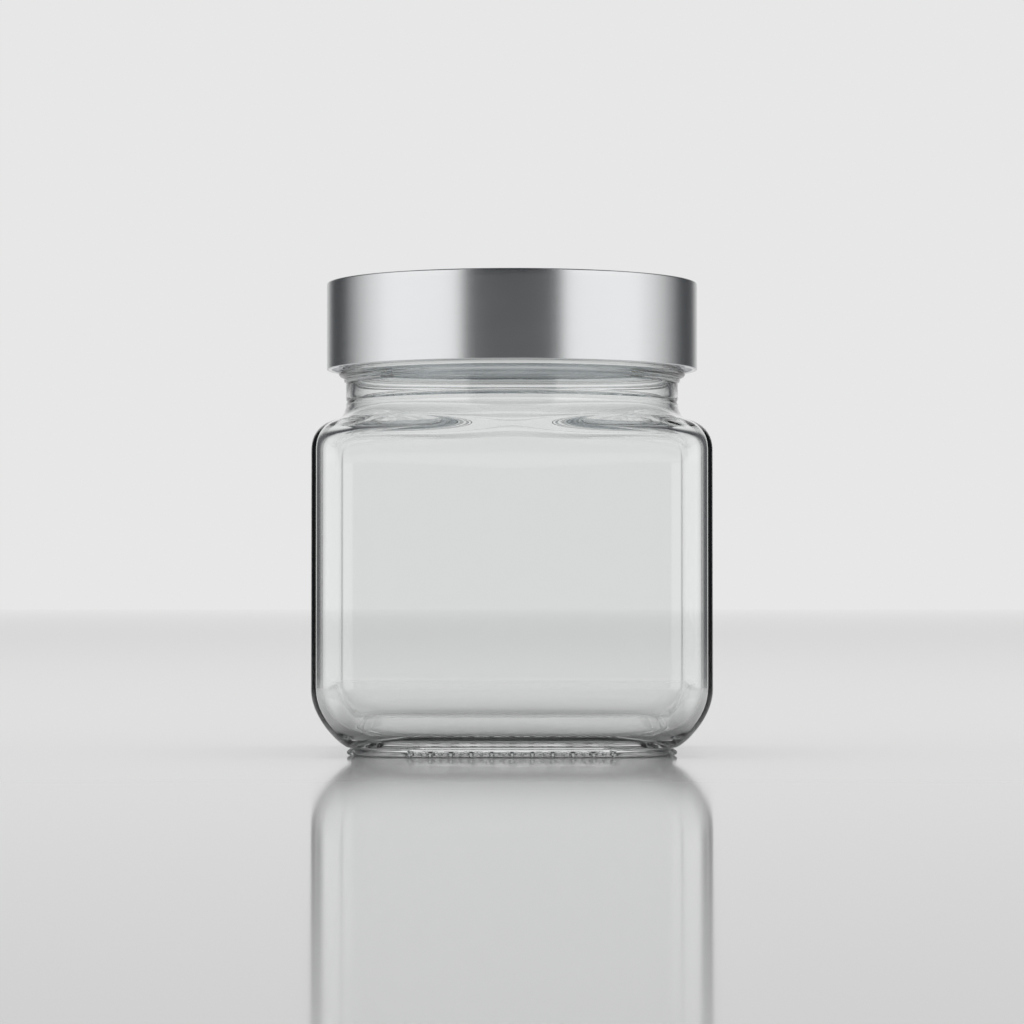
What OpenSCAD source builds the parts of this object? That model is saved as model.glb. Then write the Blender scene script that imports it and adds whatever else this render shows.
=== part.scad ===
// Lidded glass canister: a square glass jar with a round screw neck, and a lid
// made of a steel cup, a threaded aluminium insert and a seal ring.
// Z is up, the origin is at the middle of the base, and the front face looks towards -Y.

/* [Jar body] */
// Width of the square body, across its flat sides
body_w = 59.5; // [54:0.5:66]
// Outer radius of the body's upright corners
corner_r = 5.1; // [3:0.1:9]
// Thickness of the body's glass walls
wall = 1.55; // [1.3:0.05:2.2]
// Height at which the heel turns into the upright wall
heel_h = 10.1; // [9:0.1:13]
// How far the heel draws in from the wall down to the base
heel_in = 5.7; // [5.2:0.05:6.2]
// Height at which the wall starts to turn into the shoulder
wall_top = 44.4; // [43:0.1:45]
// Height of the glass floor inside the jar
floor_z = 3.2; // [2.6:0.1:4.5]
// Depth of the hollow under the base
push_up = 0.9; // [0.5:0.1:1.2]

/* [Jar neck] */
// Outer radius of the neck
neck_r = 25.5; // [24.5:0.1:25.6]
// Thickness of the neck's glass wall
neck_wall = 1.1; // [0.9:0.05:1.8]
// Height at which the shoulder meets the neck
neck_z = 53.5; // [53:0.1:54]
// Height of the rim
rim_z = 69.55; // [69:0.05:70]
// Outer radius of the bead under the lid
bead_r = 26.8; // [26.2:0.05:27]
// Height of the middle of the bead
bead_z = 58.3; // [58:0.1:58.6]

/* [Screw thread] */
// Number of separate thread starts
starts = 3; // [2:1:4]
// Height from one thread ridge to the next
pitch = 4; // [3.6:0.1:4.4]
// How far the jar's ridges stand out of the neck
ridge_h = 1.0; // [0.7:0.05:1.1]
// Height of a ridge where it leaves the wall
ridge_w = 1.8; // [1.4:0.1:2]

/* [Lid] */
// Outer radius of the steel cup
lid_r = 28.6; // [28.4:0.05:29.4]
// Height of the steel cup
lid_h = 13.45; // [12.5:0.05:13.5]
// Thickness of the steel
steel_t = 0.45; // [0.3:0.05:0.5]
// Radius of the cup's top edge
lid_edge_r = 0.5; // [0.45:0.05:0.9]
// Thickness of the insert's skirt
skirt_t = 1.05; // [0.8:0.05:1.1]
// Thickness of the insert's top plate
plate_t = 1.2; // [0.9:0.05:1.3]

/* [Hidden] */
$fn = 96;

half_w = body_w / 2;
lead = starts * pitch;
gap = 0.05;
eps = 0.01;

// Base: the foot is a low band under the heel. Each heel is a curve with an upright handle at its
// upper end and a level handle at its lower end, given as shares of its height and its inset.
foot_h = 1.25;
foot_half = half_w - 5.45;
foot_corner_r = 11;
ring_w = 2.4;
heel_handles = [0.49, 0.22];
inner_heel_h = heel_h + 0.4;
inner_heel_in = heel_in - 0.3;
inner_heel_handles = [0.52, 0.35];
corner_pull = 1.45;

// Shoulder: a curve from the wall's top up to the neck, with an upright handle at each end: [lower, upper].
// The flat faces and the corners have their own, and the corners start corner_rise higher.
shoulder_handles = [6.05, 2.7];
corner_handles = [7.2, 3.75];
corner_rise = 1.15;
inner_shoulder_handles = [5.5, 3.15];
inner_corner_handles = [6, 5.2];
inner_corner_rise = 0.7;
shoulder_r = neck_r + 0.15;
face_clear = 0.15;

// Neck: a narrow waist above the shoulder, then a collar, a step and the bead
bore_r = neck_r - neck_wall;
inner_neck_r = bore_r + 0.15;
inner_neck_z = neck_z - 0.1;
core_r = neck_r - 0.05;
core_top = neck_z + 0.2;
waist_r = neck_r - 0.3;
waist_z = neck_z + 0.45;
collar_r = neck_r + 0.15;
collar_z = neck_z + 0.95;
bead_half = 0.75;
bead_turn = 70;
step_z = bead_z - 1.0;
step_out = 0.3;
step_half = 0.1;
bead_top = bead_z + 1.1;
rim_r = 0.5;
neck_depth = 4;
core_depth = 1.5;

// Thread
jar_thread_z = [62.6, 67.4];
insert_thread_z = [62.0, 66.0];
crest_share = 0.55;
root_bite = 0.35;
end_bite = 0.15;
fade_rate = 4;
step_angle = 6;

// Lid
lid_top = 72.35;
lid_bottom = lid_top - lid_h;
hem_h = 1.7;
hem_draft = 0.13;
hem_chamfer = 0.2;
shell_in_r = lid_r - steel_t;
insert_r = shell_in_r - gap;
insert_top = lid_top - steel_t - gap;
insert_bottom = lid_bottom + 2.1;
skirt_r = insert_r - skirt_t;
plate_z = insert_top - plate_t;
insert_ridge_h = skirt_r - neck_r - 0.45;
insert_chamfer = 0.4;
insert_edge = 0.25;
seal_bottom = rim_z + gap;
seal_top = plate_z - gap;
seal_out_r = skirt_r - 0.4;
seal_in_r = 23.2;
seal_chamfer = 0.2;
rib_t = 0.8;
rib_h = 0.9;

// Points of an arc around [cx, cy], from angle a to angle b in n steps.
function arc(cx, cy, r, a, b, n) =
    [for (i = [0:n]) [cx + r * cos(a + (b - a) * i / n), cy + r * sin(a + (b - a) * i / n)]];

// A square of half-width h whose corners have radius r.
function rounded_square(h, r, n = 8) =
    [for (q = [0:3], p = arc(h - r, h - r, r, 0, 90, n))
        [p[0] * cos(90 * q) - p[1] * sin(90 * q), p[0] * sin(90 * q) + p[1] * cos(90 * q)]];

// A point of a cubic curve through four control points, at t from 0 to 1.
function cubic(a, b, c, d, t) =
    a * pow(1 - t, 3) + b * 3 * t * pow(1 - t, 2) + c * 3 * t * t * (1 - t) + d * pow(t, 3);

// A heel's outline from its lower end up to the wall at [wall_r, top_z]. It starts inset by inset at low_z.
function heel_curve(wall_r, low_z, top_z, inset, handles, n = 10) =
    let (top = [wall_r, top_z], low = [wall_r - inset, low_z])
    [for (i = [0:n]) cubic(low, low + [inset * handles[1], 0],
                           top - [0, (top_z - low_z) * handles[0]], top, i / n)];

// A shoulder's outline from the wall at [wall_r, low_z] up to the neck at [top_r, top_z].
function shoulder_curve(wall_r, low_z, top_r, top_z, handles, n = 10) =
    [for (i = [0:n]) cubic([wall_r, low_z], [wall_r, low_z + handles[0]],
                           [top_r, top_z - handles[1]], [top_r, top_z], i / n)];

// The square body inside its side outline, which is half of what is seen from the front and from the side.
module body_solid(half_width, r, side) {
    both = concat(side, [for (i = [len(side) - 1:-1:0]) [-side[i][0], side[i][1]]]);
    intersection() {
        linear_extrude(height = side[len(side) - 1][1]) polygon(rounded_square(half_width, r));
        rotate([90, 0, 0]) linear_extrude(height = 3 * half_width, center = true) polygon(both);
        rotate([90, 0, 90]) linear_extrude(height = 3 * half_width, center = true) polygon(both);
    }
}

// The turned form that rounds the body's corners off at the heel and over the shoulder.
module corner_form(side) {
    rotate_extrude() polygon(concat([[0, side[0][1]]], side, [[0, side[len(side) - 1][1]]]));
}

module jar_outside() {
    reach = (half_w - corner_r) * sqrt(2) + corner_r;
    intersection() {
        body_solid(half_w, corner_r, concat(
            heel_curve(half_w, foot_h, heel_h, heel_in, heel_handles),
            shoulder_curve(half_w, wall_top, shoulder_r + face_clear, neck_z, shoulder_handles)));
        corner_form(concat(
            heel_curve(reach, foot_h, heel_h, corner_pull * heel_in, heel_handles),
            shoulder_curve(reach, wall_top + corner_rise, shoulder_r, neck_z, corner_handles)));
    }
    // Foot that the jar stands on
    linear_extrude(height = foot_h + root_bite) polygon(rounded_square(foot_half, foot_corner_r));
}

module jar_inside() {
    in_half = half_w - wall;
    in_corner_r = corner_r - wall;
    reach = (in_half - in_corner_r) * sqrt(2) + in_corner_r;
    intersection() {
        body_solid(in_half, in_corner_r, concat(
            heel_curve(in_half, floor_z, inner_heel_h, inner_heel_in, inner_heel_handles),
            shoulder_curve(in_half, wall_top, inner_neck_r + face_clear, inner_neck_z,
                           inner_shoulder_handles)));
        corner_form(concat(
            heel_curve(reach, floor_z, inner_heel_h, corner_pull * inner_heel_in, inner_heel_handles),
            shoulder_curve(reach, wall_top + inner_corner_rise, inner_neck_r, inner_neck_z,
                           inner_corner_handles)));
    }
}

// The turned neck: waist, collar, step, bead and rim outside.
module neck_outside() {
    rotate_extrude() polygon(concat(
        [[bore_r - 2, neck_z - core_depth], [core_r, neck_z - core_depth], [core_r, core_top]],
        [[waist_r, waist_z], [collar_r, collar_z]],
        [[collar_r, step_z - step_out], [collar_r + step_out, step_z - step_half]],
        [[collar_r + step_out, step_z + step_half]],
        arc(bead_r - bead_half, bead_z, bead_half, -bead_turn, bead_turn, 8),
        [[neck_r, bead_top]],
        arc(neck_r - rim_r, rim_z - rim_r, rim_r, 0, 90, 5),
        [[bore_r - 2, rim_z]]));
}

// The round way in through the neck, rounded off at the rim.
module neck_bore() {
    rotate_extrude() polygon(concat(
        [[0, neck_z - neck_depth], [bore_r, neck_z - neck_depth]],
        arc(bore_r + rim_r, rim_z - rim_r, rim_r, 180, 90, 5),
        [[bore_r + rim_r, rim_z + 1], [0, rim_z + 1]]));
}

// One thread ridge as a swept four-sided bar. It leaves the wall at root_r and reaches crest_r,
// its middle climbs from z0 to z1, and both ends run out into the wall.
module ridge(root_r, crest_r, z0, z1) {
    turn = (z1 - z0) / lead * 360;
    n = ceil(turn / step_angle);
    inward = sign(crest_r - root_r);
    function fade(i) = min(1, fade_rate * i / n, fade_rate * (n - i) / n);
    function section(i) =
        let (start = root_r - inward * end_bite, deep = root_r - inward * root_bite,
             c = start + (crest_r - start) * fade(i), w = ridge_w / 2, z = z0 + (z1 - z0) * i / n)
        [[deep, z - w], [c, z - w * crest_share], [c, z + w * crest_share], [deep, z + w]];
    points = [for (i = [0:n], p = section(i))
        [p[0] * cos(turn * i / n), p[0] * sin(turn * i / n), p[1]]];
    sides = [for (i = [0:n - 1], k = [0:3])
        [4 * i + k, 4 * i + (k + 1) % 4, 4 * i + 4 + (k + 1) % 4, 4 * i + 4 + k]];
    ends = [[3, 2, 1, 0], [4 * n, 4 * n + 1, 4 * n + 2, 4 * n + 3]];
    faces = concat(sides, ends);
    polyhedron(points, inward > 0 ? faces : [for (f = faces) [for (i = [len(f) - 1:-1:0]) f[i]]]);
}

// All the starts of a thread. phase_z lifts the whole family of helices.
module thread(root_r, crest_r, band, phase_z) {
    first = (band[0] - phase_z) / lead * 360;
    for (s = [0:starts - 1])
        rotate([0, 0, first + 360 * s / starts]) ridge(root_r, crest_r, band[0], band[1]);
}

module glass_jar() {
    color([0.85, 0.9, 0.88, 0.4]) difference() {
        union() {
            jar_outside();
            neck_outside();
            thread(neck_r, neck_r + ridge_h, jar_thread_z, 0);
        }
        jar_inside();
        neck_bore();
        // Hollow under the base, inside the bearing ring
        translate([0, 0, -eps]) linear_extrude(height = push_up + eps)
            polygon(rounded_square(foot_half - ring_w, foot_corner_r - ring_w));
    }
}

// Drawn steel cup with a hem folded in along its lower edge.
module lid_shell() {
    hem_r = shell_in_r - steel_t;
    turn_r = steel_t - hem_draft;
    color([0.72, 0.74, 0.76]) rotate_extrude() polygon(concat(
        [[0, lid_top]],
        arc(lid_r - lid_edge_r, lid_top - lid_edge_r, lid_edge_r, 90, 0, 5),
        arc(lid_r - steel_t, lid_bottom + steel_t, steel_t, 0, -90, 4),
        arc(shell_in_r, lid_bottom + turn_r, turn_r, 270, 180, 4),
        [[hem_r, lid_bottom + hem_h], [shell_in_r, lid_bottom + hem_h + hem_chamfer]],
        [[shell_in_r, lid_top - steel_t], [0, lid_top - steel_t]]));
}

// Pressed aluminium insert: top plate, skirt with the inside thread, and the rib that centres the seal.
module lid_insert() {
    color([0.74, 0.76, 0.78]) union() {
        rotate_extrude() polygon([
            [0, plate_z], [seal_in_r - gap - rib_t, plate_z],
            [seal_in_r - gap - rib_t, plate_z - rib_h], [seal_in_r - gap, plate_z - rib_h],
            [seal_in_r - gap, plate_z], [skirt_r, plate_z],
            [skirt_r, insert_bottom + insert_chamfer], [skirt_r + insert_chamfer, insert_bottom],
            [insert_r - insert_edge, insert_bottom], [insert_r, insert_bottom + insert_edge],
            [insert_r, insert_top - insert_chamfer], [insert_r - insert_chamfer, insert_top],
            [0, insert_top]]);
        thread(skirt_r, skirt_r - insert_ridge_h, insert_thread_z, -pitch / 2);
    }
}

// Soft ring between the glass rim and the insert's top plate.
module lid_seal() {
    c = seal_chamfer;
    color([0.86, 0.87, 0.85]) rotate_extrude() polygon([
        [seal_in_r, seal_bottom + c], [seal_in_r + c, seal_bottom],
        [seal_out_r - c, seal_bottom], [seal_out_r, seal_bottom + c],
        [seal_out_r, seal_top - c], [seal_out_r - c, seal_top],
        [seal_in_r + c, seal_top], [seal_in_r, seal_top - c]]);
}

glass_jar();
lid_shell();
lid_insert();
lid_seal();
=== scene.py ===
"""Lidded glass canister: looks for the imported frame.

Sizes are in millimetres, and scaled by MM where meshes are made.
"""
import math

import bpy
import numpy as np
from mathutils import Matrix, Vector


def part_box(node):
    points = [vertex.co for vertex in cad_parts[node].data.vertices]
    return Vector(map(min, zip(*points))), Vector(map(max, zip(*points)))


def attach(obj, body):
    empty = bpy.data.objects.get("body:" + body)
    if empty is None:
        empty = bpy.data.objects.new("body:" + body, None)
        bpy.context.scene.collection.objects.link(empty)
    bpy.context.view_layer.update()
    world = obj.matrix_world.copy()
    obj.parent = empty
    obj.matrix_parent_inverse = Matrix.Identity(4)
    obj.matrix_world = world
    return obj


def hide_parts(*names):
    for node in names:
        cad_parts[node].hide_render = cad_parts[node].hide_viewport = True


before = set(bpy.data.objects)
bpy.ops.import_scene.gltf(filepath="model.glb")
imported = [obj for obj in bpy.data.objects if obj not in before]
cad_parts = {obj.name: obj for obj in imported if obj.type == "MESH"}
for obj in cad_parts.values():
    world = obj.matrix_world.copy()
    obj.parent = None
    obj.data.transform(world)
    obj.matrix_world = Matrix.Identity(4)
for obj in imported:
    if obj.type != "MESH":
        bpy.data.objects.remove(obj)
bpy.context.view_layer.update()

MM = 0.001
jar_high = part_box("glass_jar")[1]
lid_low, lid_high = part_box("lid_shell")
insert_low, insert_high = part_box("lid_insert")
seal_low, seal_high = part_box("lid_seal")

# Jar body. A heel is a curve from the foot up to the wall: its upper handle is upright, its lower one level
HALF = jar_high.x / MM
CORNER_R = 5.1
WALL = 1.55
HEEL_TOP = 10.1
HEEL_IN = 5.7
HEEL_HANDLES = (0.49, 0.22)
FOOT_H = 1.25
FOOT_HALF = HALF - 5.45
FOOT_CORNER_R = 11.0
FOOT_W = 2.4
PUSH_UP = 0.9
DOT_Z = 0.5
FLOOR_Z = 3.2
INNER_HEEL_TOP = 10.5
INNER_HEEL_IN = 5.4
INNER_HEEL_HANDLES = (0.52, 0.35)

# Shoulder: a curve from the wall's top up to the neck, upright at both ends. Where it starts, and how far
# each end stays upright, differ between the middle of a face and a corner: (face, corner)
WALL_TOP = (44.4, 45.55)
EDGE_HANDLE = (6.05, 7.2)
FILLET_HANDLE = (2.7, 3.75)
SHOULDER_R = 25.65
SHOULDER_TOP = 53.5
SHOULDER_T = 1.5

# Neck
NECK_R = 25.5
BORE_R = 24.4
WAIST_R = 25.5
WAIST_Z = 53.95
COLLAR_R = 25.65
COLLAR_Z = (54.45, 57.0)
STEP_R = 26.0
BEAD_R = 26.8
BEAD_Z = 58.35
RIM_Z = jar_high.z / MM

# Thread
LEAD = 12.0
STARTS = 3
RIDGE_H = 1.0
RIDGE_W = 1.8
JAR_BAND = (62.6, 67.4)
INSERT_BAND = (62.0, 66.0)
HALF_PITCH = LEAD / STARTS / 2

# Lid
LID_R = lid_high.x / MM
LID_TOP = lid_high.z / MM
LID_LOW = lid_low.z / MM
STEEL_T = 0.45
LID_EDGE_R = 0.3
HEM_H = 1.7
HEM_DRAFT = 0.13
LIP_R = 0.15
INSERT_R = insert_high.x / MM
INSERT_TOP = insert_high.z / MM
INSERT_LOW = insert_low.z / MM
SKIRT_R = INSERT_R - 1.05
PLATE_Z = INSERT_TOP - 1.2
SEAL_R = (23.2, seal_high.x / MM)
SEAL_Z = (seal_low.z / MM, seal_high.z / MM)


# ---------------------------------------------------------------- shape tools

def plan_radius(angle, half, r):
    """Distance from the axis to a rounded square, in the direction of angle in radians."""
    a = np.abs((angle + math.pi / 4) % (math.pi / 2) - math.pi / 4)
    c = half - r
    along = np.cos(a) * c + np.sin(a) * c
    corner = along + np.sqrt(np.maximum(along ** 2 - 2 * c * c + r * r, 0))
    return np.where(half * np.tan(a) <= c, half / np.cos(a), corner)


def corner_angles(flat_steps, corner_steps, spread):
    """Directions around the axis, closer together near the four corners."""
    lo, hi = math.pi / 4 - spread, math.pi / 4 + spread
    quarter = list(np.linspace(lo, hi, corner_steps, endpoint=False))
    quarter += list(np.linspace(hi, lo + math.pi / 2, flat_steps, endpoint=False))
    return np.array([a + q * math.pi / 2 for q in range(4) for a in quarter])


def cubic(ends, t):
    """A point of a cubic curve through four control points, at t from 0 to 1."""
    weights = ((1 - t) ** 3, 3 * t * (1 - t) ** 2, 3 * t * t * (1 - t), t ** 3)
    return [sum(w * p[i] for w, p in zip(weights, ends)) for i in (0, 1)]


def heel_curve(half, low_z, top_z, inset, handles, n):
    """Half-width and height along a heel, from its lower end up to the wall."""
    ends = (half - inset, low_z), (half - inset * (1 - handles[1]), low_z)
    ends += (half, top_z - (top_z - low_z) * handles[0]), (half, top_z)
    return [cubic(ends, t) for t in np.linspace(0, 1, n)]


def face_to_corner(angle, face_and_corner):
    """A value for each direction, from the first in the middle of a face to the second at a corner."""
    face, corner = face_and_corner
    return face + (corner - face) * (1 - np.cos(4 * angle)) / 2


def shoulder_curve(angle, wall, n):
    """Radius and height from the wall's top up to the neck. The argument wall is its radius by direction."""
    low = face_to_corner(angle, WALL_TOP)
    ends = (wall, low), (wall, low + face_to_corner(angle, EDGE_HANDLE))
    ends += (SHOULDER_R, SHOULDER_TOP - face_to_corner(angle, FILLET_HANDLE)), (SHOULDER_R, SHOULDER_TOP)
    return [cubic(ends, t) for t in np.linspace(0, 1, n)]


def inner_shoulder(angle, wall, inner_wall, n):
    """The shoulder's inside: its outside moved in by the wall below, by the neck's wall above."""
    outer = np.array([np.broadcast_to(p, (2, len(angle))) for p in shoulder_curve(angle, wall, n)])
    along = np.gradient(outer, axis=0)
    length = np.hypot(along[:, 0], along[:, 1])
    out_r, up = along[:, 1] / length, -along[:, 0] / length
    share = smooth(np.linspace(0, 1, n))[:, None]
    deep = (wall - inner_wall) * (1 - share) + (SHOULDER_R - BORE_R) * share
    return list(zip(outer[:, 0] - deep * out_r, outer[:, 1] - SHOULDER_T * up))


def arc(cx, cz, r, a, b, n):
    """Points of an arc in the radius and height plane, angles in degrees."""
    return [(cx + r * math.cos(math.radians(t)), cz + r * math.sin(math.radians(t)))
            for t in np.linspace(a, b, n)]


def smooth(x):
    x = np.clip(x, 0, 1)
    return x * x * (3 - 2 * x)


def ridge_height(angle, z, band, shift):
    """How far the thread stands out of its wall at this direction and height, as a share from 0 to 1."""
    turn = (band[1] - band[0]) / LEAD * 2 * math.pi
    first = (band[0] + shift) / LEAD * 2 * math.pi
    out = np.zeros_like(angle)
    for s in range(STARTS):
        along = (angle - first - s * 2 * math.pi / STARTS) % (2 * math.pi)
        ends = smooth(np.minimum(along, turn - along) / (turn / 4))
        ends = np.where(along > turn, 0, ends)
        middle = band[0] + LEAD * along / (2 * math.pi)
        side = smooth((RIDGE_W / 2 - np.abs(z - middle)) / (RIDGE_W * 0.3))
        out = np.maximum(out, ends * side)
    return out


def rows_to_points(rows, angle):
    """Each row is (radius, height), a number or one for each direction."""
    out = []
    for r, z in rows:
        r, z = np.broadcast_to(r, angle.shape), np.broadcast_to(z, angle.shape)
        out.append(np.stack([r * np.cos(angle), r * np.sin(angle), z], 1))
    return np.array(out) * MM


def skin(name, rows, angle, poles=None):
    """A closed mesh through the rows.

    With poles, two heights close its ends on the axis. Without, the rows form a ring.
    """
    points = rows_to_points(rows, angle)
    m, n = points.shape[:2]
    verts = points.reshape(-1, 3).tolist()
    faces = []
    last = m - 1 if poles else m
    for i in range(last):
        a, b = i * n, (i + 1) % m * n
        faces += [(a + j, a + (j + 1) % n, b + (j + 1) % n, b + j) for j in range(n)]
    if poles:
        for row, height, flip in ((0, poles[0], False), (m - 1, poles[1], True)):
            tip = len(verts)
            verts.append((0.0, 0.0, height * MM))
            for j in range(n):
                p, q = row * n + j, row * n + (j + 1) % n
                faces.append((p, q, tip) if flip else (q, p, tip))
    mesh = bpy.data.meshes.new(name)
    mesh.from_pydata(verts, [], faces)
    mesh.shade_smooth()
    mesh.update()
    piece = bpy.data.objects.new(name, mesh)
    bpy.context.scene.collection.objects.link(piece)
    return piece


def turned(name, profile, steps=256, poles=None):
    """A turned piece: profile is a list of (radius, height)."""
    angle = np.linspace(0, 2 * math.pi, steps, endpoint=False)
    return skin(name, profile, angle, poles)


def settle(piece):
    """Applies the piece's modifiers to its mesh."""
    bpy.context.view_layer.update()
    solved = piece.evaluated_get(bpy.context.evaluated_depsgraph_get())
    mesh = bpy.data.meshes.new_from_object(solved)
    piece.modifiers.clear()
    piece.data = mesh
    mesh.shade_smooth()
    return piece


# ---------------------------------------------------------------- jar

def jar_outer_rows(angle):
    """From the middle of the base, out under the foot, up the heel and wall, to the shoulder's top."""
    wall = plan_radius(angle, HALF, CORNER_R)
    foot = plan_radius(angle, FOOT_HALF, FOOT_CORNER_R)
    foot_in = plan_radius(angle, FOOT_HALF - FOOT_W, FOOT_CORNER_R - FOOT_W)
    rows = [(foot_in * f, PUSH_UP + 0.25 * (1 - f * f)) for f in (0.15, 0.35, 0.55, 0.75, 0.9)]
    rows += [(foot_in - 0.25, PUSH_UP), (foot_in - 0.08, PUSH_UP - 0.06), (foot_in, PUSH_UP - 0.2)]
    rows += [(foot_in + 0.05, 0.2), (foot_in + 0.25, 0.03), (foot_in + 0.5, 0)]
    rows += [(foot - 1.5, 0), (foot - 1.1, 0.03), (foot - 0.7, 0.14), (foot - 0.35, 0.35)]
    rows += [(foot - 0.12, 0.65), (foot - 0.03, 0.95), (foot, FOOT_H - 0.1)]
    heel = heel_curve(HALF, FOOT_H, HEEL_TOP, HEEL_IN, HEEL_HANDLES, 36)
    heel = [p for p in heel if p[0] > FOOT_HALF + 0.15]
    ledge = plan_radius(angle, heel[0][0], CORNER_R)
    rise = heel[0][1] - FOOT_H
    rows += [(foot + (ledge - foot) * f, FOOT_H + rise * f) for f in (0.1, 0.5, 0.85)]
    rows += [(plan_radius(angle, half, CORNER_R), z) for half, z in heel]
    wall_top = face_to_corner(angle, WALL_TOP)
    rows += [(wall, HEEL_TOP + (wall_top - HEEL_TOP) * f) for f in (0.04, 0.2, 0.5, 0.8, 0.96)]
    return rows + shoulder_curve(angle, wall, 44)


def jar_neck_rows(angle):
    """From the waist up over the collar, step, bead, thread and rim, to the top of the bore."""
    rows = [(SHOULDER_R - 0.04, SHOULDER_TOP + 0.15), (WAIST_R + 0.02, WAIST_Z - 0.1), (WAIST_R, WAIST_Z)]
    rows += [(WAIST_R + 0.02, WAIST_Z + 0.08), (COLLAR_R - 0.02, WAIST_Z + 0.27), (COLLAR_R, WAIST_Z + 0.35)]
    rows += [(COLLAR_R, COLLAR_Z[0] + 0.3)]
    rows += [(COLLAR_R, COLLAR_Z[1] - 0.3), (COLLAR_R + 0.03, COLLAR_Z[1] - 0.1)]
    rows += [(STEP_R - 0.12, COLLAR_Z[1] + 0.05), (STEP_R - 0.02, COLLAR_Z[1] + 0.2)]
    rows += [(STEP_R, COLLAR_Z[1] + 0.4), (STEP_R + 0.03, COLLAR_Z[1] + 0.55)]
    bead_r = 0.62
    rows += arc(BEAD_R - bead_r, BEAD_Z, bead_r, -68, 80, 12)
    rows += [(NECK_R + 0.3, BEAD_Z + 0.75), (NECK_R + 0.08, BEAD_Z + 0.95), (NECK_R, BEAD_Z + 1.2)]
    low, high = JAR_BAND[0] - RIDGE_W, JAR_BAND[1] + RIDGE_W
    for z in np.linspace(low, high, 64):
        rows.append((NECK_R + RIDGE_H * ridge_height(angle, z, JAR_BAND, 0), z))
    lip = 0.5
    rows += arc(NECK_R - lip, RIM_Z - lip, lip, 0, 90, 7)
    rows += arc(BORE_R + lip, RIM_Z - lip, lip, 90, 180, 7)
    return rows


def jar_inner_rows(angle):
    """From the bore down under the shoulder, the wall and the heel, to the middle of the floor."""
    half, corner_r = HALF - WALL, CORNER_R - WALL
    wall = plan_radius(angle, half, corner_r)
    rows = [(BORE_R, RIM_Z - 3), (BORE_R, COLLAR_Z[1]), (BORE_R, COLLAR_Z[0]), (BORE_R, SHOULDER_TOP + 0.3)]
    rows += inner_shoulder(angle, plan_radius(angle, HALF, CORNER_R), wall, 44)[::-1]
    wall_top = face_to_corner(angle, WALL_TOP)
    rows += [(wall, wall_top + (INNER_HEEL_TOP - wall_top) * f) for f in (0.04, 0.2, 0.5, 0.8, 0.96)]
    heel = heel_curve(half, FLOOR_Z, INNER_HEEL_TOP, INNER_HEEL_IN, INNER_HEEL_HANDLES, 30)[::-1]
    rows += [(plan_radius(angle, h, corner_r), z) for h, z in heel]
    floor = plan_radius(angle, heel[-1][0], corner_r)
    rows += [(floor * f, FLOOR_Z + 0.2 * (1 - f * f)) for f in (0.95, 0.85, 0.7, 0.5, 0.3, 0.12)]
    return rows


def dot(verts, faces, centre, size):
    """Adds one squat bump under the foot, as a small ellipsoid."""
    around, up = 16, 8
    base = len(verts)
    for i in range(1, up):
        lat = math.pi * i / up
        for j in range(around):
            lon = 2 * math.pi * j / around
            verts.append((centre[0] + size[0] * math.sin(lat) * math.cos(lon),
                          centre[1] + size[1] * math.sin(lat) * math.sin(lon),
                          centre[2] + size[2] * math.cos(lat)))
    for i in range(up - 2):
        for j in range(around):
            a, b = base + i * around, base + (i + 1) * around
            k = (j + 1) % around
            faces.append((a + j, b + j, b + k, a + k))
    top, low = len(verts), len(verts) + 1
    verts += [(centre[0], centre[1], centre[2] + size[2]), (centre[0], centre[1], centre[2] - size[2])]
    last = base + (up - 2) * around
    for j in range(around):
        k = (j + 1) % around
        faces.append((top, base + j, base + k))
        faces.append((low, last + k, last + j))


def bearing_dots():
    """Rows of bumps round the foot's lower edge: tall ones, and a small one between each two."""
    pitch, count = 3.02, 11
    place = FOOT_HALF - 0.15
    verts, faces = [], []
    for side in range(4):
        turn = side * math.pi / 2
        ca, sa = math.cos(turn), math.sin(turn)
        for i in range(2 * count - 1):
            tall = i % 2 == 0
            along = (i - count + 1) * pitch / 2
            size = (0.42, 0.70, 0.46) if tall else (0.26, 0.55, 0.2)
            x, y = along, -place
            wide = (size[0], size[1]) if side % 2 == 0 else (size[1], size[0])
            centre = (ca * x - sa * y, sa * x + ca * y, DOT_Z)
            dot(verts, faces, centre, (wide[0], wide[1], size[2]))
    mesh = bpy.data.meshes.new("dots")
    mesh.from_pydata((np.array(verts) * MM).tolist(), [], faces)
    piece = bpy.data.objects.new("dots", mesh)
    bpy.context.scene.collection.objects.link(piece)
    return piece


def make_jar():
    angle = corner_angles(36, 44, math.radians(8))
    rows = jar_outer_rows(angle) + jar_neck_rows(angle) + jar_inner_rows(angle)
    jar = skin("jar_glass", rows, angle, (PUSH_UP + 0.25, FLOOR_Z + 0.2))
    dots = bearing_dots()
    join = jar.modifiers.new("dots", "BOOLEAN")
    join.operation = "UNION"
    join.solver = "MANIFOLD"
    join.object = dots
    settle(jar)
    bpy.data.objects.remove(dots)
    return jar


# ---------------------------------------------------------------- lid

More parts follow.
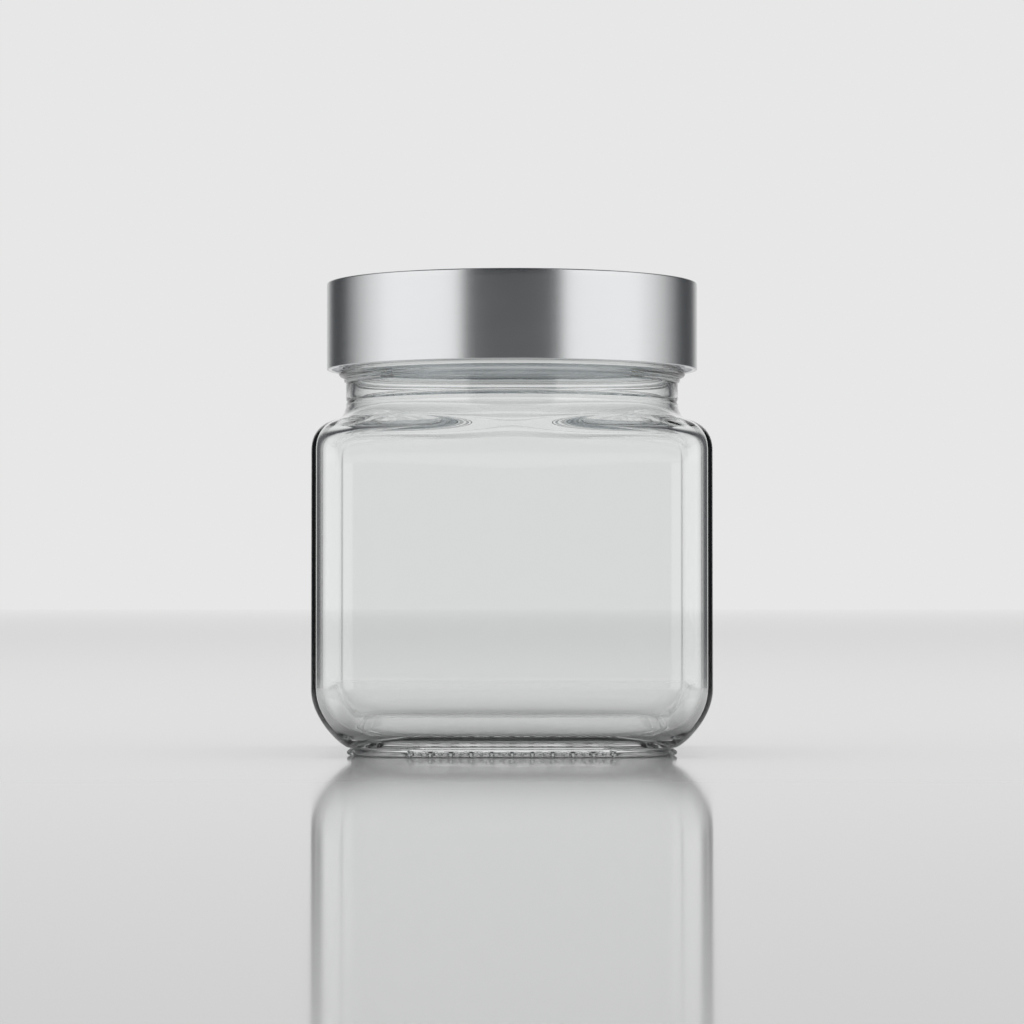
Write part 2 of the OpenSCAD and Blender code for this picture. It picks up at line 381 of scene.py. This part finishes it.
def make_cup():
    """The drawn steel cup with its rolled lower hem."""
    hem_r = LID_R - 2 * STEEL_T
    inner_r = LID_R - STEEL_T
    profile = [(2, LID_TOP), (8, LID_TOP), (16, LID_TOP), (24, LID_TOP), (27.4, LID_TOP)]
    profile += arc(LID_R - LID_EDGE_R, LID_TOP - LID_EDGE_R, LID_EDGE_R, 90, 0, 9)
    profile += [(LID_R, LID_TOP - 1.2), (LID_R, LID_TOP - 4), (LID_R, LID_LOW + 4), (LID_R, LID_LOW + 1.2)]
    profile += [(LID_R, LID_LOW + 0.3), (LID_R, LID_LOW + LIP_R + 0.03)]
    profile += arc(LID_R - LIP_R, LID_LOW + LIP_R, LIP_R, 0, -90, 6)
    profile += [(LID_R - LIP_R - 0.1, LID_LOW), (hem_r + HEM_DRAFT + LIP_R + 0.1, LID_LOW)]
    profile += arc(hem_r + HEM_DRAFT + LIP_R, LID_LOW + LIP_R, LIP_R, -90, -180, 6)
    low, high = LID_LOW + LIP_R, LID_LOW + HEM_H - 0.2
    for f in (0.03, 0.1, 0.5, 0.9, 0.97, 1):
        profile.append((hem_r + HEM_DRAFT * (1 - f), low + (high - low) * f))
    profile += [(hem_r + 0.06, LID_LOW + HEM_H - 0.05)]
    profile += [(hem_r + 0.2, LID_LOW + HEM_H), (inner_r - 0.05, LID_LOW + HEM_H + 0.02)]
    profile += [(inner_r, LID_LOW + HEM_H + 0.1), (inner_r, LID_LOW + 4), (inner_r, LID_TOP - 4)]
    inner_top = LID_TOP - STEEL_T
    profile += [(inner_r, inner_top - 0.1), (inner_r - 0.05, inner_top), (24, inner_top), (8, inner_top)]
    return turned("lid_cup", profile[::-1], 320, (inner_top, LID_TOP))


def make_insert():
    """The pressed insert with its inside thread."""
    angle = np.linspace(0, 2 * math.pi, 320, endpoint=False)
    rib_out, rib_in, rib_low = SEAL_R[0] - 0.05, SEAL_R[0] - 0.85, PLATE_Z - 0.9
    rows = [(f, PLATE_Z) for f in (4, 12, 19)]
    rows += [(rib_in - 0.3, PLATE_Z), (rib_in - 0.06, PLATE_Z - 0.06), (rib_in, PLATE_Z - 0.3)]
    rows += [(rib_in, rib_low + 0.15), (rib_in + 0.15, rib_low), (rib_out - 0.15, rib_low)]
    rows += [(rib_out, rib_low + 0.15), (rib_out, PLATE_Z - 0.1), (rib_out + 0.1, PLATE_Z)]
    rows += [(SKIRT_R - 0.3, PLATE_Z), (SKIRT_R - 0.06, PLATE_Z - 0.06), (SKIRT_R, PLATE_Z - 0.3)]
    depth = SKIRT_R - NECK_R - 0.45
    high, low = INSERT_BAND[1] + RIDGE_W * 0.8, max(INSERT_BAND[0] - RIDGE_W * 0.6, INSERT_LOW + 0.5)
    for z in np.linspace(high, low, 56):
        share = ridge_height(angle, z, INSERT_BAND, HALF_PITCH)
        rows.append((SKIRT_R - depth * share, z))
    rows += [(SKIRT_R + 0.1, INSERT_LOW + 0.25), (SKIRT_R + 0.35, INSERT_LOW + 0.02)]
    rows += [(INSERT_R - 0.25, INSERT_LOW), (INSERT_R - 0.06, INSERT_LOW + 0.06)]
    rows += [(INSERT_R, INSERT_LOW + 0.25)]
    rows += [(INSERT_R, INSERT_LOW + 3), (INSERT_R, INSERT_TOP - 1), (INSERT_R - 0.1, INSERT_TOP - 0.3)]
    rows += [(INSERT_R - 0.45, INSERT_TOP), (24, INSERT_TOP), (12, INSERT_TOP), (3, INSERT_TOP)]
    return skin("lid_inner", rows, angle, (PLATE_Z, INSERT_TOP))


def make_seal():
    """The soft ring, with rounded edges."""
    r = 0.25
    inner, outer = SEAL_R
    low, high = SEAL_Z
    profile = arc(inner + r, low + r, r, 180, 270, 6) + arc(outer - r, low + r, r, 270, 360, 6)
    profile += arc(outer - r, high - r, r, 0, 90, 6) + arc(inner + r, high - r, r, 90, 180, 6)
    return turned("seal_ring", profile)


# ---------------------------------------------------------------- materials

def new_material(name):
    material = bpy.data.materials.new(name)
    material.use_nodes = True
    nodes, links = material.node_tree.nodes, material.node_tree.links
    return material, nodes, links, nodes["Principled BSDF"]


def glass_material():
    """Clear soda-lime glass with a faint green tint and the slight waviness of moulded walls."""
    material, nodes, links, shader = new_material("clear glass")
    shader.inputs["Base Color"].default_value = (0.991, 1.0, 0.996, 1)
    shader.inputs["Roughness"].default_value = 0.0
    shader.inputs["IOR"].default_value = 1.5
    shader.inputs["Transmission Weight"].default_value = 1.0
    place = nodes.new("ShaderNodeTexCoord")
    wave = nodes.new("ShaderNodeTexNoise")
    wave.inputs["Scale"].default_value = 90.0
    wave.inputs["Detail"].default_value = 1.0
    bump = nodes.new("ShaderNodeBump")
    bump.inputs["Strength"].default_value = 0.02
    bump.inputs["Distance"].default_value = 0.0004
    links.new(place.outputs["Object"], wave.inputs["Vector"])
    links.new(wave.outputs["Fac"], bump.inputs["Height"])
    links.new(bump.outputs["Normal"], shader.inputs["Normal"])
    return material


def steel_material():
    """Steel brushed around the axis: fine rings on the top, fine level lines round the side."""
    material, nodes, links, shader = new_material("brushed steel")
    shader.inputs["Metallic"].default_value = 1.0
    shader.inputs["Anisotropic"].default_value = 0.3
    shader.inputs["Anisotropic Rotation"].default_value = 0.25
    place = nodes.new("ShaderNodeTexCoord")
    split = nodes.new("ShaderNodeSeparateXYZ")
    links.new(place.outputs["Object"], split.inputs[0])
    flat = nodes.new("ShaderNodeCombineXYZ")
    links.new(split.outputs["X"], flat.inputs["X"])
    links.new(split.outputs["Y"], flat.inputs["Y"])
    radius = nodes.new("ShaderNodeVectorMath")
    radius.operation = "LENGTH"
    links.new(flat.outputs[0], radius.inputs[0])
    turn = nodes.new("ShaderNodeMath")
    turn.operation = "ARCTAN2"
    links.new(split.outputs["Y"], turn.inputs[0])
    links.new(split.outputs["X"], turn.inputs[1])
    lines = nodes.new("ShaderNodeCombineXYZ")
    for source, scale, target in ((turn.outputs[0], 1.2, "X"), (split.outputs["Z"], 3500.0, "Y"),
                                  (radius.outputs["Value"], 3500.0, "Z")):
        stretch = nodes.new("ShaderNodeMath")
        stretch.operation = "MULTIPLY"
        stretch.inputs[1].default_value = scale
        links.new(source, stretch.inputs[0])
        links.new(stretch.outputs[0], lines.inputs[target])
    grain = nodes.new("ShaderNodeTexNoise")
    grain.inputs["Scale"].default_value = 2.0
    grain.inputs["Detail"].default_value = 5.0
    grain.inputs["Roughness"].default_value = 0.6
    links.new(lines.outputs[0], grain.inputs["Vector"])
    tone = nodes.new("ShaderNodeMapRange")
    tone.inputs["To Min"].default_value = 0.22
    tone.inputs["To Max"].default_value = 0.27
    links.new(grain.outputs["Fac"], tone.inputs["Value"])
    # Only the outside is brushed: inside its wall and below its top, the cup is smooth
    inner = nodes.new("ShaderNodeMath")
    inner.operation = "LESS_THAN"
    inner.inputs[1].default_value = (LID_R - STEEL_T / 2) * MM
    links.new(radius.outputs["Value"], inner.inputs[0])
    under = nodes.new("ShaderNodeMath")
    under.operation = "LESS_THAN"
    under.inputs[1].default_value = (LID_TOP - STEEL_T / 2) * MM
    links.new(split.outputs["Z"], under.inputs[0])
    inside = nodes.new("ShaderNodeMath")
    inside.operation = "MULTIPLY"
    links.new(inner.outputs[0], inside.inputs[0])
    links.new(under.outputs[0], inside.inputs[1])
    finish = nodes.new("ShaderNodeMix")
    finish.data_type = "FLOAT"
    links.new(inside.outputs[0], finish.inputs["Factor"])
    links.new(tone.outputs[0], finish.inputs["A"])
    finish.inputs["B"].default_value = 0.06
    links.new(finish.outputs["Result"], shader.inputs["Roughness"])
    colour = nodes.new("ShaderNodeValToRGB")
    colour.color_ramp.elements[0].position = 0.3
    colour.color_ramp.elements[0].color = (0.85, 0.86, 0.87, 1)
    colour.color_ramp.elements[1].position = 0.7
    colour.color_ramp.elements[1].color = (0.88, 0.89, 0.90, 1)
    links.new(grain.outputs["Fac"], colour.inputs["Fac"])
    links.new(colour.outputs["Color"], shader.inputs["Base Color"])
    bump = nodes.new("ShaderNodeBump")
    bump.inputs["Strength"].default_value = 0.12
    bump.inputs["Distance"].default_value = 0.00002
    links.new(grain.outputs["Fac"], bump.inputs["Height"])
    links.new(bump.outputs["Normal"], shader.inputs["Normal"])
    tangent = nodes.new("ShaderNodeTangent")
    tangent.direction_type = "RADIAL"
    tangent.axis = "Z"
    links.new(tangent.outputs["Tangent"], shader.inputs["Tangent"])
    return material


def aluminium_material():
    """Smooth pressed aluminium, with a slight mottle in its gloss."""
    material, nodes, links, shader = new_material("satin aluminium")
    shader.inputs["Metallic"].default_value = 1.0
    shader.inputs["Base Color"].default_value = (0.86, 0.88, 0.90, 1)
    place = nodes.new("ShaderNodeTexCoord")
    mottle = nodes.new("ShaderNodeTexNoise")
    mottle.inputs["Scale"].default_value = 300.0
    mottle.inputs["Detail"].default_value = 3.0
    links.new(place.outputs["Object"], mottle.inputs["Vector"])
    gloss = nodes.new("ShaderNodeMapRange")
    gloss.inputs["To Min"].default_value = 0.06
    gloss.inputs["To Max"].default_value = 0.12
    links.new(mottle.outputs["Fac"], gloss.inputs["Value"])
    links.new(gloss.outputs[0], shader.inputs["Roughness"])
    bump = nodes.new("ShaderNodeBump")
    bump.inputs["Strength"].default_value = 0.05
    bump.inputs["Distance"].default_value = 0.00002
    links.new(mottle.outputs["Fac"], bump.inputs["Height"])
    links.new(bump.outputs["Normal"], shader.inputs["Normal"])
    return material


def moulded_material(name, colour, roughness, subsurface):
    """A moulded polymer: a slight mottle in its colour and gloss, and a very fine skin texture."""
    material, nodes, links, shader = new_material(name)
    shader.inputs["Subsurface Weight"].default_value = subsurface
    shader.inputs["Subsurface Scale"].default_value = 0.002
    place = nodes.new("ShaderNodeTexCoord")
    mottle = nodes.new("ShaderNodeTexNoise")
    mottle.inputs["Scale"].default_value = 160.0
    mottle.inputs["Detail"].default_value = 4.0
    links.new(place.outputs["Object"], mottle.inputs["Vector"])
    ramp = nodes.new("ShaderNodeValToRGB")
    ramp.color_ramp.elements[0].position = 0.3
    ramp.color_ramp.elements[0].color = tuple(c * 0.95 for c in colour) + (1,)
    ramp.color_ramp.elements[1].position = 0.7
    ramp.color_ramp.elements[1].color = colour + (1,)
    links.new(mottle.outputs["Fac"], ramp.inputs["Fac"])
    links.new(ramp.outputs["Color"], shader.inputs["Base Color"])
    gloss = nodes.new("ShaderNodeMapRange")
    gloss.inputs["To Min"].default_value = roughness - 0.06
    gloss.inputs["To Max"].default_value = roughness + 0.06
    links.new(mottle.outputs["Fac"], gloss.inputs["Value"])
    links.new(gloss.outputs[0], shader.inputs["Roughness"])
    fine = nodes.new("ShaderNodeTexNoise")
    fine.inputs["Scale"].default_value = 2500.0
    links.new(place.outputs["Object"], fine.inputs["Vector"])
    bump = nodes.new("ShaderNodeBump")
    bump.inputs["Strength"].default_value = 0.15
    bump.inputs["Distance"].default_value = 0.00003
    links.new(fine.outputs["Fac"], bump.inputs["Height"])
    links.new(bump.outputs["Normal"], shader.inputs["Normal"])
    return material


# ---------------------------------------------------------------- studio

BACKDROP = 0.799
FLOOR_TONE = 0.575
FLOOR_ROUGHNESS = 0.075
GLOSS_POWER = 1.75

# Degrees from the front, and the light level there
STUDIO = [(0, 0.04), (28, 0.04), (33.5, 0.97), (82, 0.97), (95, 0.78), (106, 0.56), (116, 0.30),
          (127, 0.07), (136, 0.04), (147, 0.06), (154, 0.25), (162, 0.62), (170, BACKDROP)]
GAP_LEVEL = 0.2
GAP_BLUE = 0.08
TOP_COLOUR = (0.05, 0.055, 0.06, 1)


def make_floor():
    """A large pale floor with a gloss that grows towards the horizon."""
    size = 60.0
    mesh = bpy.data.meshes.new("floor")
    mesh.from_pydata([(-size, -size, 0), (size, -size, 0), (size, size, 0), (-size, size, 0)], [],
                     [(0, 1, 2, 3)])
    floor = bpy.data.objects.new("floor", mesh)
    bpy.context.scene.collection.objects.link(floor)
    material, nodes, links, shader = new_material("studio floor")
    nodes.remove(shader)
    matt = nodes.new("ShaderNodeBsdfDiffuse")
    matt.inputs["Color"].default_value = (FLOOR_TONE, FLOOR_TONE, FLOOR_TONE, 1)
    gloss = nodes.new("ShaderNodeBsdfGlossy")
    gloss.distribution = "MULTI_GGX"
    gloss.inputs["Color"].default_value = (1, 1, 1, 1)
    gloss.inputs["Roughness"].default_value = FLOOR_ROUGHNESS
    fresnel = nodes.new("ShaderNodeFresnel")
    fresnel.inputs["IOR"].default_value = 1.45
    share = nodes.new("ShaderNodeMath")
    share.operation = "POWER"
    share.inputs[1].default_value = GLOSS_POWER
    links.new(fresnel.outputs[0], share.inputs[0])
    mix = nodes.new("ShaderNodeMixShader")
    links.new(share.outputs[0], mix.inputs["Fac"])
    links.new(matt.outputs[0], mix.inputs[1])
    links.new(gloss.outputs[0], mix.inputs[2])
    links.new(mix.outputs[0], nodes["Material Output"].inputs["Surface"])
    mesh.materials.append(material)


def make_world():
    """A pale studio, as a ramp over the direction round the object, measured from the front.

    There is a dark gap in front, a wide soft box on each side, a narrow dark gap, and the pale backdrop.
    """
    world = bpy.data.worlds.new("studio")
    bpy.context.scene.world = world
    world.use_nodes = True
    nodes, links = world.node_tree.nodes, world.node_tree.links
    nodes.clear()
    place = nodes.new("ShaderNodeTexCoord")
    split = nodes.new("ShaderNodeSeparateXYZ")
    links.new(place.outputs["Generated"], split.inputs[0])
    front = nodes.new("ShaderNodeMath")
    front.operation = "MULTIPLY"
    front.inputs[1].default_value = -1.0
    links.new(split.outputs["Y"], front.inputs[0])
    turn = nodes.new("ShaderNodeMath")
    turn.operation = "ARCTAN2"
    links.new(split.outputs["X"], turn.inputs[0])
    links.new(front.outputs[0], turn.inputs[1])
    side = nodes.new("ShaderNodeMath")
    side.operation = "ABSOLUTE"
    links.new(turn.outputs[0], side.inputs[0])
    share = nodes.new("ShaderNodeMath")
    share.operation = "DIVIDE"
    share.inputs[1].default_value = math.pi
    links.new(side.outputs[0], share.inputs[0])
    ramp = nodes.new("ShaderNodeValToRGB")
    ramp.color_ramp.interpolation = "EASE"
    while len(ramp.color_ramp.elements) < len(STUDIO):
        ramp.color_ramp.elements.new(0.5)
    for element, (degrees, level) in zip(ramp.color_ramp.elements, STUDIO):
        element.position = degrees / 180
        blue = GAP_BLUE if level < GAP_LEVEL else 0.0
        element.color = (level * (1 - blue), level, level * (1 + blue), 1)
    links.new(share.outputs[0], ramp.inputs["Fac"])
    # For the light on matt surfaces, the studio has an even pale ceiling. Mirrored or seen through glass,
    # the boxes and gaps reach up to a dark top
    height = nodes.new("ShaderNodeMapRange")
    height.interpolation_type = "SMOOTHSTEP"
    height.inputs["From Min"].default_value = 0.30
    height.inputs["From Max"].default_value = 0.50
    links.new(split.outputs["Z"], height.inputs["Value"])
    path = nodes.new("ShaderNodeLightPath")
    matt = nodes.new("ShaderNodeMath")
    matt.operation = "MULTIPLY"
    links.new(height.outputs[0], matt.inputs[0])
    links.new(path.outputs["Is Diffuse Ray"], matt.inputs[1])
    ceiling = nodes.new("ShaderNodeMix")
    ceiling.data_type = "RGBA"
    links.new(matt.outputs[0], ceiling.inputs["Factor"])
    links.new(ramp.outputs["Color"], ceiling.inputs["A"])
    ceiling.inputs["B"].default_value = (BACKDROP, BACKDROP, BACKDROP, 1)
    above = nodes.new("ShaderNodeMapRange")
    above.interpolation_type = "SMOOTHSTEP"
    above.inputs["From Min"].default_value = 0.60
    above.inputs["From Max"].default_value = 0.85
    links.new(split.outputs["Z"], above.inputs["Value"])
    sharp = nodes.new("ShaderNodeMath")
    sharp.operation = "SUBTRACT"
    sharp.inputs[0].default_value = 1.0
    links.new(path.outputs["Is Diffuse Ray"], sharp.inputs[1])
    dark = nodes.new("ShaderNodeMath")
    dark.operation = "MULTIPLY"
    links.new(above.outputs[0], dark.inputs[0])
    links.new(sharp.outputs[0], dark.inputs[1])
    top = nodes.new("ShaderNodeMix")
    top.data_type = "RGBA"
    links.new(dark.outputs[0], top.inputs["Factor"])
    links.new(ceiling.outputs["Result"], top.inputs["A"])
    top.inputs["B"].default_value = TOP_COLOUR
    seen = nodes.new("ShaderNodeMix")
    seen.data_type = "RGBA"
    links.new(path.outputs["Is Camera Ray"], seen.inputs["Factor"])
    links.new(top.outputs["Result"], seen.inputs["A"])
    seen.inputs["B"].default_value = (BACKDROP, BACKDROP, BACKDROP, 1)
    back = nodes.new("ShaderNodeBackground")
    links.new(seen.outputs["Result"], back.inputs["Color"])
    out = nodes.new("ShaderNodeOutputWorld")
    links.new(back.outputs[0], out.inputs["Surface"])


def make_light():
    """One large soft light overhead."""
    data = bpy.data.lights.new("overhead", "AREA")
    data.shape = "RECTANGLE"
    data.size = 1.2
    data.size_y = 1.2
    data.energy = 6.0
    light = bpy.data.objects.new("overhead", data)
    light.location = (0, 0.25, 1.4)
    light.visible_glossy = False
    light.visible_transmission = False
    bpy.context.scene.collection.objects.link(light)


def make_camera():
    """Nearly level, just above the floor, with a long lens."""
    data = bpy.data.cameras.new("camera")
    data.lens = 135.35
    data.sensor_width = 36.0
    data.clip_start = 0.01
    data.clip_end = 200.0
    camera = bpy.data.objects.new("camera", data)
    camera.location = (0, -0.595, 0.0222)
    camera.rotation_euler = (math.radians(90 + 1.428), 0, 0)
    bpy.context.scene.collection.objects.link(camera)
    bpy.context.scene.camera = camera


def set_view():
    scene = bpy.context.scene
    scene.view_settings.view_transform = "Standard"
    scene.view_settings.look = "None"
    scene.cycles.max_bounces = 32
    scene.cycles.transmission_bounces = 24
    scene.cycles.glossy_bounces = 16
    scene.cycles.caustics_reflective = True
    scene.cycles.caustics_refractive = True


# ---------------------------------------------------------------- the canister

def finish_piece(piece, material, body, node):
    piece.data.materials.clear()
    piece.data.materials.append(material)
    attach(piece, body)
    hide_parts(node)


make_camera()
set_view()
finish_piece(make_jar(), glass_material(), "jar", "glass_jar")
finish_piece(make_cup(), steel_material(), "lid", "lid_shell")
finish_piece(make_insert(), aluminium_material(), "lid", "lid_insert")
silicone = moulded_material("seal silicone", (0.74, 0.75, 0.73), 0.5, 0.4)
finish_piece(make_seal(), silicone, "seal", "lid_seal")
make_floor()
make_world()
make_light()
